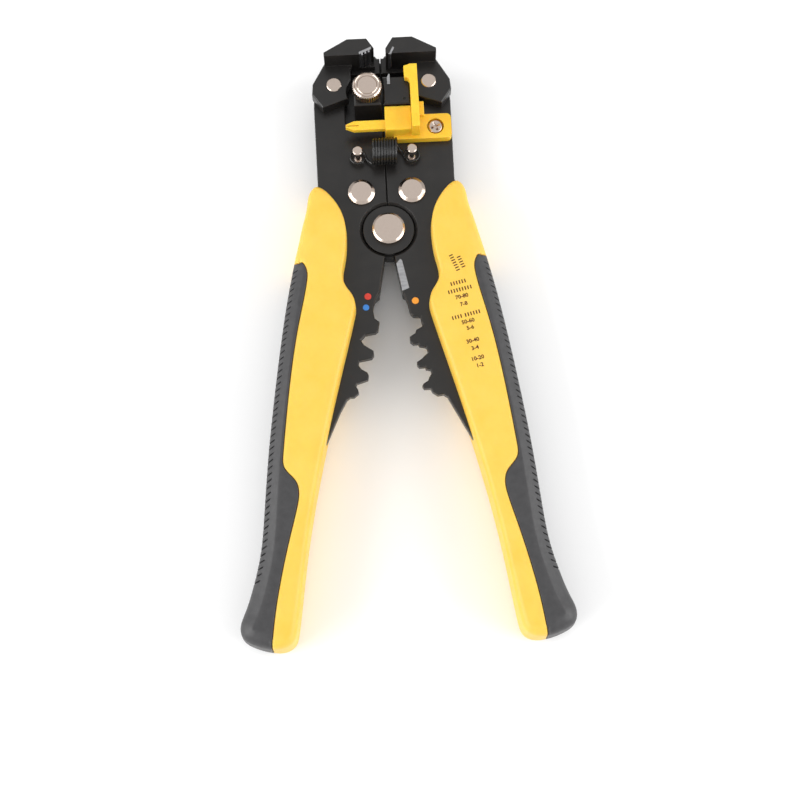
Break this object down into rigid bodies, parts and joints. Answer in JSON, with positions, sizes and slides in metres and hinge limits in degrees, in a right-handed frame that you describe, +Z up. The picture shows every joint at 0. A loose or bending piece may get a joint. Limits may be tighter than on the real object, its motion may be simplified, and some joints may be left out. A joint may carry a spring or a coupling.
{
  "type": "wire stripper",
  "caption": "Self-adjusting hand tool that grips and strips cable ends, with crimping jaws and a cutter between two sprung handles.",
  "frame": {"origin": "under the middle of the tool's bounding box, on the plane that its grips rest on when it lies on its back", "axes": "+X to the right with the knob side up and the head pointing away, +Y from the handle ends to the head, +Z up out of the side that carries the knob"},
  "size_m": [0.1056, 0.2028, 0.028],
  "materials": {
    "black_steel": "satin black powder coat on pressed steel",
    "yellow_plastic": "moulded, fine texture, half gloss",
    "grey_rubber": "soft moulded pad, matt",
    "yellow_nylon": "moulded, half gloss",
    "nickel_plate": "warm nickel plating, finely turned",
    "bare_steel": "ground steel",
    "black_spring_steel": "black oxide with oil sheen",
    "red_paint": "printed dot",
    "blue_paint": "printed dot",
    "orange_paint": "printed dot"
  },
  "bodies": {
    "left_frame": {"front_cheek_left": "black_steel", "inner_cheek_left": "black_steel", "back_cheek_left": "black_steel", "grip_shell_left": "yellow_plastic", "grip_pad_left": "grey_rubber", "main_rivet": "nickel_plate", "pivot_disc": "black_steel", "fixed_jaw_left": "black_steel", "gripper_insert": "bare_steel", "jaw_rivet_left": "nickel_plate", "lever_rivet_left": "nickel_plate", "spring_post_left": "nickel_plate", "head_spring": "black_spring_steel", "red_dot": "red_paint", "blue_dot": "blue_paint"},
    "right_frame": {"front_cheek_right": "black_steel", "inner_cheek_right": "black_steel", "back_cheek_right": "black_steel", "grip_shell_right": "yellow_plastic", "grip_pad_right": "grey_rubber", "fixed_jaw_right": "black_steel", "fixed_blade": "bare_steel", "jaw_rivet_right": "nickel_plate", "lever_rivet_right": "nickel_plate", "spring_post_right": "nickel_plate", "cutter_blade": "bare_steel", "stop_bracket": "yellow_nylon", "stop_screw": "nickel_plate", "orange_dot": "orange_paint"},
    "left_jaw": {"moving_jaw_left": "black_steel", "moving_gripper": "bare_steel"},
    "right_jaw": {"moving_jaw_right": "black_steel", "moving_blade": "bare_steel"},
    "left_lever": {"jaw_lever_left": "bare_steel"},
    "right_lever": {"jaw_lever_right": "bare_steel"},
    "knob": {"adjusting_knob": "nickel_plate"},
    "stop": {"length_stop": "yellow_nylon"}
  },
  "joints": [
    {"name": "handle_squeeze", "type": "hinge", "parent": "left_frame", "child": "right_frame", "pos_m": [0, 0.03735, 0.01], "axis": [0, 0, -1], "range_deg": [0, 18.5], "stiffness_Nm_per_rad": 2, "springref_deg": -8.59, "deforming": ["head_spring"]},
    {"name": "left_jaw_close", "type": "slide", "parent": "left_frame", "child": "left_jaw", "axis": [0, 1, 0], "range_m": [0, 0.0054]},
    {"name": "right_jaw_close", "type": "slide", "parent": "right_frame", "child": "right_jaw", "axis": [0, 1, 0], "range_m": [0, 0.0054]},
    {"name": "left_lever_turn", "type": "hinge", "parent": "left_frame", "child": "left_lever", "pos_m": [-0.0085, 0.05085, 0.01], "axis": [0, 0, 1], "range_deg": [0, 13]},
    {"name": "right_lever_turn", "type": "hinge", "parent": "right_frame", "child": "right_lever", "pos_m": [0.0085, 0.05085, 0.01], "axis": [0, 0, -1], "range_deg": [0, 13]},
    {"name": "knob_turn", "type": "hinge", "parent": "left_jaw", "child": "knob", "pos_m": [-0.0049, 0.0835, 0.025], "axis": [0, 0, 1], "continuous": true},
    {"name": "stop_slide", "type": "slide", "parent": "right_frame", "child": "stop", "axis": [1, 0, 0], "range_m": [0, 0.0095]}
  ],
  "couplings": [
    {"joint": "left_jaw_close", "follows": "handle_squeeze", "m_per_rad": 0.0167},
    {"joint": "right_jaw_close", "follows": "handle_squeeze", "m_per_rad": 0.0167},
    {"joint": "left_lever_turn", "follows": "handle_squeeze", "ratio": 0.7},
    {"joint": "right_lever_turn", "follows": "handle_squeeze", "ratio": 0.7}
  ]
}
